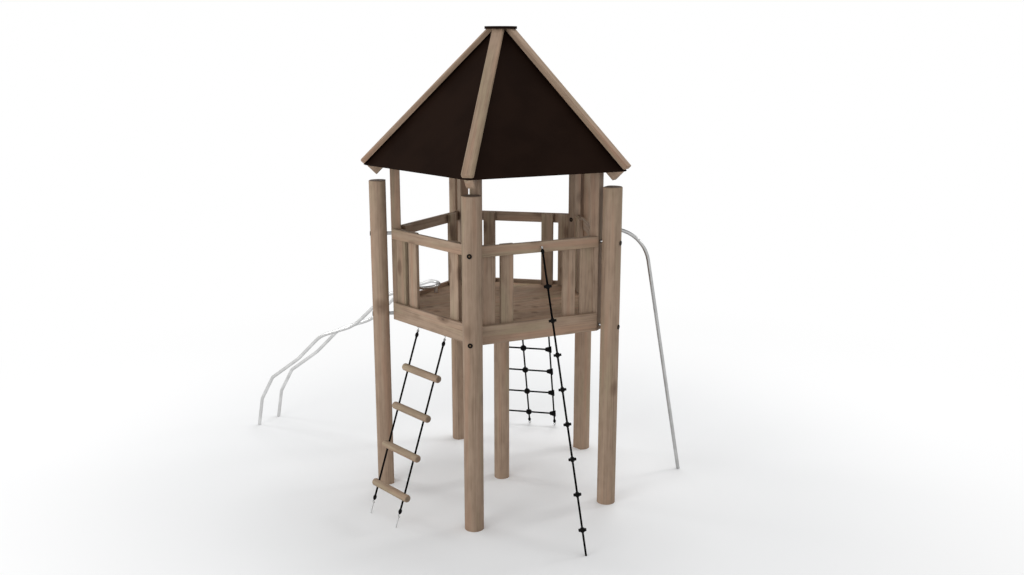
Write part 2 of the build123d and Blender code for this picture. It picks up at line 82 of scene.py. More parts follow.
def along_line(start, end):
    """The matrix that stands a piece made along +Z at the start of a line, pointing to its end."""
    direction = (end - start).normalized()
    return Matrix.Translation(start) @ direction.to_track_quat("Z", "Y").to_matrix().to_4x4()


print("sides face", [round(math.degrees(side_angle(name))) for name in SIDE], "degrees")

# %% [markdown]
# The CAD model's ropes are plain straight bars. Their ends could be typed in, but ends that are
# measured from the mesh stay right when the model changes. The first guess for an end is the
# lowest or highest point, which lies beside the axis, and the middle of all points near that end
# is then a better one.

# %% The ends of a rope
ROPE_REACH = 0.03
ROPE_END_DEPTH = 0.0015
LADDER = side_angle("front_left")
CLIMB = side_angle("front_right")
NET = side_angle("back")
LADDER_SPACING = 0.345
LADDER_OFFSETS = (-LADDER_SPACING / 2, LADDER_SPACING / 2)


def rope_line(node, angle, offset=0.0):
    """The lower and upper end of a straight rope in a CAD node, at this offset along its side."""
    back = turn(-angle)
    points = [v.co for v in nodes[node].data.vertices if abs((back @ v.co).y - offset) < ROPE_REACH]
    low = min(points, key=lambda p: p.z)
    high = max(points, key=lambda p: p.z)
    for _ in range(3):
        direction = (high - low).normalized()
        heights = [p.dot(direction) for p in points]
        ends = []
        for limit in (min(heights), max(heights)):
            ring = [p for p, h in zip(points, heights) if abs(h - limit) < ROPE_END_DEPTH]
            ends.append(sum(ring, Vector()) / len(ring))
        low, high = ends
    return low, high


low, high = rope_line("ladder_ropes", LADDER, LADDER_OFFSETS[0])
print("a rope of the ladder measures", round((high - low).length, 4), "m")

# %% [markdown]
# ## A short way to write shader maths
# A pattern is a formula, and a formula reads best as one. `Signal` wraps the output of a node,
# and its operators add Math nodes, so that `1 - mask` works as it reads. The nodes could also be
# added one by one, but the formula would then be hard to find among them.

# %% Signals


class Signal:
    """The output of a node, which can be used in sums."""

    def __init__(self, paint, socket):
        self.paint = paint
        self.socket = socket

    def maths(self, operation, *others):
        """A Math node with this signal as its first value."""
        values = dict(enumerate((self, *others)))
        return self.paint.node("ShaderNodeMath", {"operation": operation}, values)

    def __add__(self, other):
        return self.maths("ADD", other)

    def __radd__(self, other):
        return self.maths("ADD", other)

    def __sub__(self, other):
        return self.maths("SUBTRACT", other)

    def __rsub__(self, other):
        return self.paint.node("ShaderNodeMath", {"operation": "SUBTRACT"}, {0: other, 1: self})

    def __mul__(self, other):
        return self.maths("MULTIPLY", other)

    def __rmul__(self, other):
        return self.maths("MULTIPLY", other)

    def __truediv__(self, other):
        return self.maths("DIVIDE", other)

    def __pow__(self, other):
        return self.maths("POWER", other)

    def above(self, low, high):
        """0 below the low value, 1 above the high one and smooth between them."""
        settings = {"interpolation_type": "SMOOTHSTEP"}
        return self.paint.node("ShaderNodeMapRange", settings, {0: self, 1: low, 2: high})


# %% [markdown]
# `Paint` holds the nodes of one material, or of the world. Each node could be added, set and
# linked where it is needed, but that takes several lines a node. The `node` method does it in
# one, from a type, its settings and its inputs, which are numbers or signals. The other methods
# are short names for the nodes that nearly every finish needs.

# %% Paints


class Paint:
    """The nodes of a material or a world under construction."""

    def __init__(self, owner):
        self.owner = owner
        owner.use_nodes = True
        self.tree = owner.node_tree
        self.tree.nodes.clear()

    def node(self, kind, settings=None, inputs=None, output=0):
        made = self.tree.nodes.new(kind)
        for key, value in (settings or {}).items():
            setattr(made, key, value)
        for key, value in (inputs or {}).items():
            if isinstance(value, Signal):
                self.tree.links.new(value.socket, made.inputs[key])
            else:
                made.inputs[key].default_value = value
        return Signal(self, made.outputs[output])

    def point(self):
        """The place on the piece, split into x, y and z."""
        place = self.node("ShaderNodeTexCoord", output="Object")
        return [self.node("ShaderNodeSeparateXYZ", None, {0: place}, axis) for axis in range(3)]

    def vector(self, x, y, z):
        return self.node("ShaderNodeCombineXYZ", None, {0: x, 1: y, 2: z})

    def noise(self, vector, scale=1.0, detail=2.0, roughness=0.5):
        inputs = {"Vector": vector, "Scale": scale, "Detail": detail, "Roughness": roughness}
        return self.node("ShaderNodeTexNoise", None, inputs)

    def mix(self, factor, first, second):
        """A colour between two others."""
        return self.node("ShaderNodeMix", {"data_type": "RGBA"}, {0: factor, 6: first, 7: second}, 2)

    def tinted(self, body, tint):
        """A colour that is multiplied by a tint, channel by channel."""
        settings = {"data_type": "RGBA", "blend_type": "MULTIPLY"}
        return self.node("ShaderNodeMix", settings, {0: 1.0, 6: body, 7: self.vector(*tint)}, 2)

    def bump(self, height, strength, distance):
        inputs = {"Height": height, "Strength": strength, "Distance": distance}
        return self.node("ShaderNodeBump", None, inputs)

    def finish(self, **inputs):
        """Ends in a Principled shader, whose sockets are named with _ for each space."""
        named = {key.replace("_", " "): value for key, value in inputs.items()}
        self.surface(self.node("ShaderNodeBsdfPrincipled", None, named))
        return self.owner

    def surface(self, shader, kind="ShaderNodeOutputMaterial"):
        out = self.tree.nodes.new(kind)
        self.tree.links.new(shader.socket, out.inputs["Surface"])


def new_paint(name):
    return Paint(bpy.data.materials.new(name))


def colour(red, green, blue):
    return (red, green, blue, 1.0)


finishes = {}

# %% [markdown]
# ## Timber
# Every timber of the tower repeats round the pentagon, so one pattern folded into five sectors
# serves them all. The fold turns a point into a distance outwards, a distance along the side and
# a height, and each piece then says which of them its grain follows. The sector's number moves
# the pattern, so that no two timbers look alike. A UV map on each timber could carry the grain
# too, but the fold needs none, and its grain runs right through to a board's end.

# %% The fold into sectors


def fold(paint, first_angle):
    """The sector's number, and the point's distance outwards, along the side and up."""
    x, y, z = paint.point()
    angle = y.maths("ARCTAN2", x)
    sector = ((angle - first_angle) / STEP).maths("ROUND")
    bearing = angle - first_angle - sector * STEP
    reach = (x * x + y * y) ** 0.5
    number = (sector + float(SIDES)).maths("FLOORED_MODULO", float(SIDES))
    return number, reach * bearing.maths("COSINE"), reach * bearing.maths("SINE"), z


print("a sector spans", round(math.degrees(STEP)), "degrees")

# %% [markdown]
# ### Grain
# Sawn softwood shows broad bands, narrow streaks, fine fibres and a few dark lines, all long in
# one direction, with blotches of weather and a knot here and there. Each of them is noise with a
# scale across the grain and a smaller one along it. A wave texture would draw stripes, but they
# look too even, so only faint year rings come from a wave, and its phase is noise as well. Knots
# are the middles of some cells of a Voronoi texture, picked by the cell's own colour.

# %% The grain's parts
BANDS = (14.0, 0.8)
STREAKS = (75.0, 1.5)
FIBRES = (420.0, 9.0)
LINES = (150.0, 1.1)
BLOTCHES = (22.0, 9.0)
RING_FIELD = (5.0, 0.45)
RINGS = 62.0
WANDER = 0.04
KNOT_CELLS = (7.5, 2.5, 3.6)
DEFAULT_KNOTS = 0.30
RING_SHIFT = 7.3
GRAIN_SHIFT = 5.17


def stretched(paint, scales, across, depth, along, detail, roughness=0.5):
    """Noise that is long in the direction of the grain, from its scales across and along."""
    fine, long = scales
    return paint.noise(paint.vector(across * fine, depth * fine, along * long), 1.0, detail, roughness)


def knot_cells(paint, across, depth, along, knots):
    """The knots themselves, and a soft dark halo round each. knots is the share of cells with one."""
    fine, deep, long = KNOT_CELLS
    cells = paint.vector(across * fine, depth * deep, along * long)
    distance = paint.node("ShaderNodeTexVoronoi", None, {"Vector": cells, "Scale": 1.0})
    cell_colour = paint.node("ShaderNodeTexVoronoi", None, {"Vector": cells, "Scale": 1.0}, "Color")
    pick = paint.node("ShaderNodeSeparateColor", None, {0: cell_colour})
    wanted = pick.above(1.0 - knots, 1.02 - knots)
    return (1.0 - distance.above(0.05, 0.12)) * wanted, (1.0 - distance.above(0.10, 0.34)) * wanted


def grain(paint, across, depth, along, seed, knots, figure):
    """Tone, warmth, knots and relief of sawn or turned wood, from its own three directions."""
    fine, long = RING_FIELD
    field = paint.noise(paint.vector(across * fine, depth * fine, along * long + seed * RING_SHIFT))
    rings = 0.5 + 0.5 * (field * RINGS).maths("SINE")
    side = across + (field - 0.5) * WANDER
    shifted = along + seed * GRAIN_SHIFT
    bands = stretched(paint, BANDS, side, depth, shifted, 2.0)
    streaks = stretched(paint, STREAKS, side, depth, shifted, 3.0, 0.6)
    fibres = stretched(paint, FIBRES, side, depth, shifted, 2.0)
    lines = stretched(paint, LINES, side, depth, shifted, 1.0).above(0.56, 0.70)
    blotches = stretched(paint, BLOTCHES, side, depth, shifted, 3.0)
    knot, halo = knot_cells(paint, side, depth, shifted, knots)
    tone = bands * 0.28 + streaks * 0.33 + blotches * 0.27 + fibres * 0.20
    tone = tone + (rings - 0.5) * (0.06 * figure) - halo * 0.26 - lines * 0.10
    relief = streaks * 0.5 + fibres * 0.5 - knot * 0.4
    return tone, bands, knot, relief


for part, (fine, long) in (("bands", BANDS), ("streaks", STREAKS), ("fibres", FIBRES)):
    print(part, "are about", round(1000 / fine), "mm wide and", round(1000 / long), "mm long")

# %% [markdown]
# ### Colour
# Weathered pine is pale, with olive and warm patches, and darker where the tone is low. Its
# colour could come from a picture of a board, but a picture repeats on long timbers and has to
# be carried along as a file, so it is mixed from a few colours. A tint then sets how pale one
# kind of timber is beside the others, `contrast` how strong its grain is, and `end` where its
# end grain shows.

# %% The colours of the wood
PALE_WOOD = colour(0.345, 0.252, 0.182)
OLIVE_WOOD = colour(0.315, 0.250, 0.168)
WARM_WOOD = colour(0.338, 0.220, 0.152)
DARK_WOOD = colour(0.182, 0.120, 0.080)
KNOT_WOOD = colour(0.090, 0.054, 0.036)
END_WOOD = colour(0.140, 0.098, 0.070)
NO_TINT = (1.0, 1.0, 1.0)
OLIVE_PATCHES = (9.0, 1.1)
OLIVE_SHIFT = 3.7
MIDDLE_TONE = 0.47
TONE_RANGE = 0.21


def wood(
    paint, across, depth, along, seed, tint=NO_TINT, knots=DEFAULT_KNOTS, end=None, figure=1.0, contrast=1.0
):
    """The finish itself, from the grain's directions."""
    tone, warmth, knot, relief = grain(paint, across, depth, along, seed, knots, figure)
    fine, long = OLIVE_PATCHES
    olive = paint.noise(paint.vector(across * fine, depth * fine, along * long + seed * OLIVE_SHIFT))
    pale = paint.mix(olive.above(0.48, 0.66), PALE_WOOD, OLIVE_WOOD)
    pale = paint.mix(warmth.above(0.50, 0.68), pale, WARM_WOOD)
    half_range = TONE_RANGE / contrast
    body = paint.mix(tone.above(MIDDLE_TONE - half_range, MIDDLE_TONE + half_range), DARK_WOOD, pale)
    body = paint.mix(knot * 0.85, body, KNOT_WOOD)
    if end is not None:
        body = paint.mix(end, body, END_WOOD)
    normal = paint.bump(relief, 0.35, 0.0012)
    return paint.finish(
        Base_Color=paint.tinted(body, tint),
        Roughness=0.62 + relief * 0.22,
        Normal=normal,
        Specular_IOR_Level=0.25,
    )


def facing_up(paint, low=0.80, high=0.95):
    """1 on the upper side of a piece, as on the end grain of a post's level top."""
    normal = paint.node("ShaderNodeNewGeometry", output="Normal")
    height = paint.node("ShaderNodeSeparateXYZ", None, {0: normal}, 2)
    return height.above(low, high)


tone_limits = [round(MIDDLE_TONE + end * TONE_RANGE, 2) for end in (-1, 1)]
print("the grain goes from dark to pale between the tones", *tone_limits)

# %% [markdown]
# ### Posts and uprights
# The posts are turned, the uprights sawn square, and both have upright grain. The outer posts have
# painted light in their tint: paler at the back, where the deck casts its shade, and darker at the
# front, where the key lamp falls. Each could have a material of its own, but one material whose
# tint follows the sector's number is easier to keep even. Each kind of timber has a seed of its
# own, so that it doesn't repeat the pattern of its neighbour.

# %% Finishes of posts and uprights
SEED = {
    "post": 1.0,
    "centre_post": 7.0,
    "upright": 11.0,
    "slat": 20.0,
    "side_board": 31.0,
    "rafter": 41.0,
    "cover": 45.0,
    "joist": 51.0,
    "floor": 61.0,
    "rung": 71.0,
}
BACK_SECTOR = 2.5
POST_PAINTED_LIGHT_PEAK = 1.12
POST_PAINTED_SHADE_STEP = 0.09


def post_finish():
    paint = new_paint("turned_post")
    sector, out, across, up = fold(paint, FRONT)
    # Painted light: the tint makes the back posts paler, where the deck casts its shade, and the front post
    # darker, where the key lamp falls.
    from_back = (sector - BACK_SECTOR).maths("ABSOLUTE")
    level = POST_PAINTED_LIGHT_PEAK - POST_PAINTED_SHADE_STEP * from_back
    tint = (level, level, level)
    seed = sector + SEED["post"]
    return wood(paint, across, out, up, seed, tint, knots=0.42, end=facing_up(paint), contrast=0.75)


def centre_post_finish():
    paint = new_paint("turned_centre_post")
    x, y, z = paint.point()
    return wood(paint, x, y, z, SEED["centre_post"], (1.05, 1.05, 1.05), contrast=0.85)


def upright_finish():
    paint = new_paint("sawn_upright")
    sector, out, across, up = fold(paint, FRONT)
    return wood(paint, across, out, up, sector + SEED["upright"], (0.86, 0.86, 0.86), knots=0.55)


finishes["post"] = post_finish()
finishes["centre_post"] = centre_post_finish()
finishes["upright"] = upright_finish()
print("finishes:", *finishes)

# %% [markdown]
# ### Boards
# The slats of the guard are planed boards with upright grain, and each needs a look of its own. A
# random number for each object would do that for separate objects, but here the slats of a side
# share one node. So the seed comes from the place along the side: the sign tells left from right,
# and the gap between the two slats tells the inner from the outer one. The wavy rails' side has
# one slat at each end. Beams and rails follow their side, and the height tells them apart.

# %% Finishes of boards
SLAT_GAP_EDGES = (0.335, 0.345)
BEAM_TO_RAIL = (1.8, 1.9)
SECTOR_SEEDS = 8.0


def slat_finish():
    paint = new_paint("planed_slat")
    sector, out, across, up = fold(paint, FIRST_SIDE)
    outer = across.maths("ABSOLUTE").above(*SLAT_GAP_EDGES)
    single = sector.maths("COMPARE", float(SIDE["left"]), 0.5)
    board = across.maths("SIGN") * (outer * (1.0 - single) * 2.0 + 1.0)
    seed = sector * SECTOR_SEEDS + board + SEED["slat"]
    return wood(paint, across, out, up, seed, (0.98, 0.98, 0.98), knots=0.68, contrast=1.2)


def side_board_finish():
    paint = new_paint("sawn_side_board")
    sector, out, across, up = fold(paint, FIRST_SIDE)
    level = up.above(*BEAM_TO_RAIL)
    return wood(paint, up, out, across, sector + level * 3.3 + SEED["side_board"], knots=0.52)


finishes["slat"] = slat_finish()
finishes["side_board"] = side_board_finish()
print("finishes:", *finishes)

# %% [markdown]
# ### Roof timbers
# The rafters and the covers over them follow the hips, which rise at 45 degrees. A Mapping node
# could tilt the grain, but only in one direction, and the hips point in five. After the fold they
# all point outwards, so that the way up a hip and the one square to it are plain sums of the
# height and the distance outwards.

# %% Finishes of the roof timbers
HALF_DIAGONAL = math.sqrt(0.5)


def hip_finish(name, seed, tint):
    paint = new_paint(name)
    sector, out, across, up = fold(paint, FRONT)
    rise = (up - out) * HALF_DIAGONAL
    depth = (up + out) * HALF_DIAGONAL
    return wood(paint, across, depth, rise, sector + seed, tint, knots=0.20)


finishes["rafter"] = hip_finish("sawn_rafter", SEED["rafter"], NO_TINT)
finishes["cover"] = hip_finish("planed_hip_cover", SEED["cover"], (0.90, 0.88, 0.86))
print("finishes:", *finishes)

# %% [markdown]
# ### Deck and rungs
# Joists run outwards. The floor could be drawn as planks, but the photograph shows one sheet, with
# a livelier figure that runs askew to the sides, in the direction that is given here by its share
# of x and y. Each turned rung takes a seed from its height, and its two round ends show darker
# end grain.

# %% Finishes of the deck and the rungs
FLOOR_X, FLOOR_Y = (0.77, 0.64)
FLOOR_SQUEEZE = 2.2
RUNG_STEP = 0.302
RUNG_END_EDGES = (0.2222, 0.2238)


def joist_finish():
    paint = new_paint("sawn_joist")
    sector, out, across, up = fold(paint, FIRST_SIDE)
    return wood(paint, across, up, out, sector + SEED["joist"], (0.9, 0.9, 0.9))


def floor_finish():
    paint = new_paint("deck_sheet")
    x, y, z = paint.point()
    along = (x * FLOOR_X + y * FLOOR_Y) * FLOOR_SQUEEZE
    across = y * FLOOR_X - x * FLOOR_Y
    return wood(paint, across, z, along, SEED["floor"], (1.33, 1.24, 1.15), knots=0.45, figure=1.2)


def rung_finish():
    paint = new_paint("turned_rung")
    sector, out, across, up = fold(paint, FIRST_SIDE)
    rung = (up / RUNG_STEP + 0.5).maths("FLOOR")
    end = across.maths("ABSOLUTE").above(*RUNG_END_EDGES)
    return wood(paint, up, out, across, rung + SEED["rung"], knots=0.1, end=end * 0.5)


finishes["joist"] = joist_finish()
finishes["floor"] = floor_finish()
finishes["rung"] = rung_finish()
print("finishes:", *finishes)

# %% [markdown]
# ## Roof sheet
# The roof panels are smooth, almost black sheets with a faint sheen. Their colour could be one
# value, but a slow cloud of two browns and fine pores keep such a large flat face from looking
# like plain plastic.

# %% Finish of the roof


def roof_finish():
    paint = new_paint("dark_roof_sheet")
    x, y, z = paint.point()
    place = paint.vector(x, y, z)
    cloud = paint.noise(place, 3.0, 3.0)
    pores = paint.noise(place, 350.0)
    dark = colour(0.0088, 0.0042, 0.0026)
    pale = colour(0.0122, 0.0061, 0.0039)
    return paint.finish(
        Base_Color=paint.mix(cloud.above(0.35, 0.65), dark, pale),
        Roughness=0.70 + cloud * 0.12,
        Normal=paint.bump(pores, 0.12, 0.0004),
        Specular_IOR_Level=0.02,
    )


finishes["roof"] = roof_finish()
print("finishes:", *finishes)

# %% [markdown]
# ## Steel
# The tubes are brushed stainless steel, which is a metal, so its colour is that of its
# reflection. The brush marks could be a picture on a UV map, but the CAD meshes have none. Noise
# that is squeezed along the height gives the marks instead, and a slow one the smears. A tube
# under an open white sky would look white all over, so the pole has a painted dark reflection on
# its upper side, and each kind of tube has a shade of its own.

# %% Finishes of the steel
PAINTED_DARK_REFLECTION = colour(0.060, 0.058, 0.056)


def steel_finish(name, shade, painted_reflection_share):
    paint = new_paint(name)
    x, y, z = paint.point()
    brushed = paint.noise(paint.vector(x * 60.0, y * 60.0, z * 900.0))
    smears = paint.noise(paint.vector(x, y, z), 9.0)
    dull = colour(shade, shade, 0.99 * shade)
    bright = colour(1.2 * shade, 1.2 * shade, 1.19 * shade)
    body = paint.mix(smears.above(0.35, 0.70), dull, bright)
    # Painted reflection: the upper side is painted dark, as if the steel mirrored something dark above it.
    body = paint.mix(facing_up(paint, 0.40, 0.80) * painted_reflection_share, body, PAINTED_DARK_REFLECTION)
    return paint.finish(
        Base_Color=body,
        Metallic=1.0,
        Roughness=0.20 + brushed * 0.12 + smears * 0.06,
        Normal=paint.bump(brushed, 0.10, 0.0003),
        Specular_Tint=colour(0.25, 0.25, 0.25),
    )


finishes["steel"] = steel_finish("brushed_steel", 0.36, 0.0)
finishes["pole_steel"] = steel_finish("brushed_pole_steel", 0.43, 0.85)
finishes["rail_steel"] = steel_finish("polished_rail_steel", 0.62, 0.0)
print("finishes:", *finishes)

# %% [markdown]
# ## Rope, plastic and bolt heads
# Rope and moulded parts are black. They could share one plain black, but then rope would look
# like a rubber hose. Their roughness and a little relief tell them apart: yarns on the rope, fine
# pits and dust on the plastic. The bolt heads are a dull brown, which shows in the hollow of each
# cap.

# %% Finishes of rope, plastic and bolt heads


def rope_finish():
    paint = new_paint("black_rope")
    x, y, z = paint.point()
    place = paint.vector(x, y, z)
    yarns = paint.noise(place, 900.0)
    worn = paint.noise(place, 25.0)
    fresh = colour(0.0018, 0.0018, 0.0020)
    faded = colour(0.0042, 0.0042, 0.0045)
    return paint.finish(
        Base_Color=paint.mix(worn.above(0.4, 0.8), fresh, faded),
        Roughness=0.75 + yarns * 0.2,
        Normal=paint.bump(yarns, 0.5, 0.0005),
        Specular_IOR_Level=0.03,
    )


def plastic_finish():
    paint = new_paint("black_moulding")
    x, y, z = paint.point()
    place = paint.vector(x, y, z)
    pits = paint.noise(place, 700.0)
    dust = paint.noise(place, 40.0, 3.0)
    clean = colour(0.0024, 0.0022, 0.0021)
    dusty = colour(0.0055, 0.0052, 0.0050)
    return paint.finish(
        Base_Color=paint.mix(dust.above(0.45, 0.85), clean, dusty),
        Roughness=0.50 + dust * 0.2,
        Normal=paint.bump(pits, 0.15, 0.0003),
        Specular_IOR_Level=0.06,
    )


def bolt_head_finish():
    paint = new_paint("dull_bolt_head")
    x, y, z = paint.point()
    dirt = paint.noise(paint.vector(x, y, z), 300.0, 3.0)
    dark = colour(0.080, 0.048, 0.026)
    pale = colour(0.140, 0.092, 0.055)
    return paint.finish(
        Base_Color=paint.mix(dirt.above(0.35, 0.70), dark, pale),
        Roughness=0.75 + dirt * 0.15,
        Specular_IOR_Level=0.05,
    )


finishes["rope"] = rope_finish()
finishes["plastic"] = plastic_finish()
finishes["bolt_head"] = bolt_head_finish()
print("finishes:", *finishes)

# %% [markdown]
# ## Dress the CAD nodes
# A node keeps its mesh and takes a finish by the start of its name, and the longest start that
# fits counts. That is shorter than a line for each of the nodes, and a sixth side would need no
# new line.

# %% Hand out the finishes
NODE_FINISH = {
    "post_": "post",
    "centre_post": "centre_post",
    "upright_": "upright",
    "slats_": "slat",
    "beam_": "side_board",
    "guard_rails": "side_board",
    "rafters": "rafter",
    "hip_covers": "cover",
    "joists": "joist",
    "deck_floor": "floor",
    "roof_panel_": "roof",
    "apex_plate": "roof",
    "spacer_tubes": "steel",
    "sliding_pole": "pole_steel",
    "wavy_rails": "rail_steel",
    "rope_holder": "steel",
    "ladder_pins": "steel",
    "net_pins": "steel",
    "ladder_rungs": "rung",
    "ladder_ropes": "rope",
    "climbing_rope": "rope",
    "climbing_net": "rope",
    "rope_footholds": "plastic",
}


def dress(obj, *chosen):
    obj.data.materials.clear()
    for finish in chosen:
        obj.data.materials.append(finishes[finish])


for name, obj in nodes.items():
    start = max((key for key in NODE_FINISH if name.startswith(key)), key=len)
    dress(obj, NODE_FINISH[start])
print("finishes on", len(nodes), "nodes")

# %% [markdown]
# ## Making new pieces
# Caps, blocks, sleeves and eyes are small turned or moulded things. Their meshes could be made
# from lists of points, but a list doesn't show how it came about. So they start as primitives,
# are shaped in edit mode as by hand, and are finished with modifiers that are applied. In edit
# mode an operator acts on all that is selected, so each step first selects its faces or points
# by their place.

# %% Select and shape
SMOOTH_ANGLE = math.radians(35)


def start_piece(name):
    """Names the primitive that was just added, with its offset and turn moved into the mesh."""
    obj = bpy.context.object
    obj.name = name
    bpy.ops.object.transform_apply(location=True, rotation=True, scale=True)
    return obj


def deselect_in(obj, kind):
    bpy.context.view_layer.objects.active = obj
    bpy.ops.object.mode_set(mode="EDIT")
    bpy.ops.mesh.select_mode(type=kind)
    bpy.ops.mesh.select_all(action="DESELECT")
    bpy.ops.object.mode_set(mode="OBJECT")


def pick_faces(obj, wanted):
    """Opens the mesh in edit mode, with the faces selected whose centre and normal pass the test."""
    deselect_in(obj, "FACE")
    for face in obj.data.polygons:
        face.select = wanted(face.center, face.normal)
    bpy.ops.object.mode_set(mode="EDIT")


def pick_points(obj, wanted):
    """Opens the mesh in edit mode, with the points selected whose place passes the test."""
    deselect_in(obj, "VERT")
    for vertex in obj.data.vertices:
        vertex.select = wanted(vertex.co)
    bpy.ops.object.mode_set(mode="EDIT")


def close_piece():
    bpy.ops.object.mode_set(mode="OBJECT")


def modify(obj, kind, **settings):
    """Adds a modifier and applies it at once."""
    bpy.context.view_layer.objects.active = obj
    modifier = obj.modifiers.new(kind.lower(), kind)
    for key, value in settings.items():
        setattr(modifier, key, value)
    bpy.ops.object.modifier_apply(modifier=modifier.name)


def soften(obj, width, segments=2):
    """Rounds the sharp edges and shades the rest smooth."""
    modify(obj, "BEVEL", width=width, segments=segments, limit_method="ANGLE", angle_limit=SMOOTH_ANGLE)
    bpy.ops.object.shade_smooth_by_angle(angle=SMOOTH_ANGLE)


print("edges of more than", round(math.degrees(SMOOTH_ANGLE)), "degrees are rounded")

# %% [markdown]
# What repeats is modelled once and copied. A linked copy would be smaller, but it shares its mesh,
# and here each mesh holds its own place. `settle` moves the mesh and not the object there, because
# the finishes read object coordinates, and those should stay the coordinates of the whole tower.

# %% Copy and settle


def copy_piece(obj, name):
    new = obj.copy()
    new.data = obj.data.copy()
    new.name = name
    bpy.context.scene.collection.objects.link(new)
    return new


def settle(obj, place):
    """Moves the mesh to its place and hands the piece to the frame."""
    obj.data.transform(place)
    obj.data.update()
    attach(obj, "root")
    return obj


def repeat(master, name, places):
    """Copies a master piece to each place, and then takes the master away."""
    made = [settle(copy_piece(master, f"{name}_{n + 1}"), place) for n, place in enumerate(places)]
    bpy.data.objects.remove(master)
    bpy.ops.object.select_all(action="DESELECT")
    print(len(made), name)
    return made


# %% [markdown]
# ## Bolt caps
# Each upright hangs on its post by two long bolts. Outside, a round black cap with a hollow sits
# over the bolt's head, and inside, another one covers the nut. A cap could be turned from a
# profile with Spin, but a short cylinder is quicker: its top is inset and pushed in, which bares
# the brown head, and a bevel rounds the rims.

# %% Bolt caps
CAP_RADIUS = 0.019
CAP_HEIGHT = 0.004
CAP_RIM = 0.52 * CAP_RADIUS
CAP_WALL = 0.08 * CAP_RADIUS
CAP_HOLLOW = 0.55 * CAP_HEIGHT
CAP_SUNK = 0.0006
CAP_PROUD = 0.0002
BOLT_TUBE_RADIUS = 0.014
OUTWARD = Matrix.Rotation(math.radians(90), 4, "Y")
INWARD = Matrix.Rotation(math.radians(-90), 4, "Y")


def bolt_cap():
    bpy.ops.mesh.primitive_cylinder_add(
        vertices=40, radius=CAP_RADIUS, depth=CAP_HEIGHT, location=(0, 0, CAP_HEIGHT / 2)
    )
    obj = start_piece("cap")
    dress(obj, "plastic", "bolt_head")
    pick_faces(obj, lambda centre, normal: normal.z > 0.9)
    bpy.ops.mesh.inset(thickness=CAP_RIM, depth=0.0)
    bpy.ops.mesh.inset(thickness=CAP_WALL, depth=-CAP_HOLLOW)
    obj.active_material_index = 1
    bpy.ops.object.material_slot_assign()
    close_piece()
    soften(obj, width=0.22 * CAP_HEIGHT, segments=3)
    return obj


tube_low, tube_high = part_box("spacer_tubes")
bolt_heights = (tube_low.z + BOLT_TUBE_RADIUS, tube_high.z - BOLT_TUBE_RADIUS)
post_face = -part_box("post_front")[0].y
upright_face = -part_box("upright_front")[1].y


def bolt_places(reach, facing):
    return [
        turn(corner_angle(k)) @ Matrix.Translation((reach, 0, height)) @ facing
        for k in range(SIDES)
        for height in bolt_heights
    ]


repeat(bolt_cap(), "bolt_cap", bolt_places(post_face - CAP_SUNK, OUTWARD))
repeat(bolt_cap(), "nut_cap", bolt_places(upright_face + CAP_PROUD, INWARD))

# %% [markdown]
# ## The lay of a rope
# A rope is six strands that wind round each other. Each strand could be a tube of its own along a
# helix, but a ring with six lobes that is turned and lifted at once draws the same lay with far
# fewer faces. The ring is a circle whose points between the strands are drawn in a little, and
# the Screw modifier does the turning and lifting.

# %% Twisted ropes
ROPE_RADIUS = 0.008
STRANDS = 6
VALLEY_DEPTH = 0.05
LAY = 0.105
RING_SPACING = 0.0075


def strand_wave(place):
    """1 on the ridge of a strand, 0 in the valley between two."""
    return abs(math.cos(STRANDS / 2 * math.atan2(place.y, place.x)))


def twisted_rope(name, start, end):
    length = (end - start).length
    bpy.ops.mesh.primitive_circle_add(vertices=4 * STRANDS, radius=ROPE_RADIUS, fill_type="NOTHING")
    obj = start_piece(name)
    for wave in (0.0, HALF_DIAGONAL):
        share = 1 - VALLEY_DEPTH * (1 - wave)
        pick_points(obj, lambda place: abs(strand_wave(place) - wave) < 0.1)
        bpy.ops.transform.resize(value=(share, share, 1), center_override=(0, 0, 0))
        close_piece()
    steps = max(4, round(length / RING_SPACING))
    modify(
        obj,
        "SCREW",
        angle=2 * math.pi * length / LAY,
        screw_offset=length,
        steps=steps,
        render_steps=steps,
        use_smooth_shade=True,
    )
    bpy.ops.object.mode_set(mode="EDIT")
    bpy.ops.mesh.select_all(action="SELECT")
    bpy.ops.mesh.fill_holes(sides=0)
    bpy.ops.mesh.normals_make_consistent(inside=False)
    close_piece()
    dress(obj, "rope")
    print(name, "measures", round(length, 3), "m")
    return settle(obj, along_line(start, end))


# %% [markdown]
# ## The ladder's ropes
# The ladder hangs on two ropes, and each ends in a black sleeve that is pressed onto it. The rope
# could run on inside the sleeve, but nobody would see it there, and its strands might come
# through the narrow tip. So it runs from one sleeve to the other, and this step keeps the places
# of the sleeves for later. At the foot it ends a little above its pin in the ground, which leaves
# room for a linking eye.

# %% The ladder's ropes
FERRULE_LENGTH = 0.042
LINK = {"ladder_ropes": 0.030, "climbing_net": 0.020}


def rope_between(name, node, angle, offset):
    """Dresses one straight rope of a CAD node, and returns where its two ferrules go."""
    low, high = rope_line(node, angle, offset)
    up = (high - low).normalized()
    low = low + up * LINK[node]
    start = low + up * FERRULE_LENGTH
    end = high - up * FERRULE_LENGTH
    return twisted_rope(name, start, end), [along_line(end, high), along_line(start, low)]


ferrule_places = []
for hand, offset in zip(("left", "right"), LADDER_OFFSETS):
    piece, places = rope_between(f"ladder_rope_{hand}", "ladder_ropes", LADDER, offset)
    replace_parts(piece, "ladder_ropes")
    ferrule_places += places

# %% [markdown]
# ## The climbing rope
# The climbing rope leans out and runs into the ground, so its foot is cut level there. It is
# made one lay too long, which keeps the pattern of its strands. A Boolean with a large block
# could take off the rest, but Bisect cuts it at the ground and closes the cut in one step.

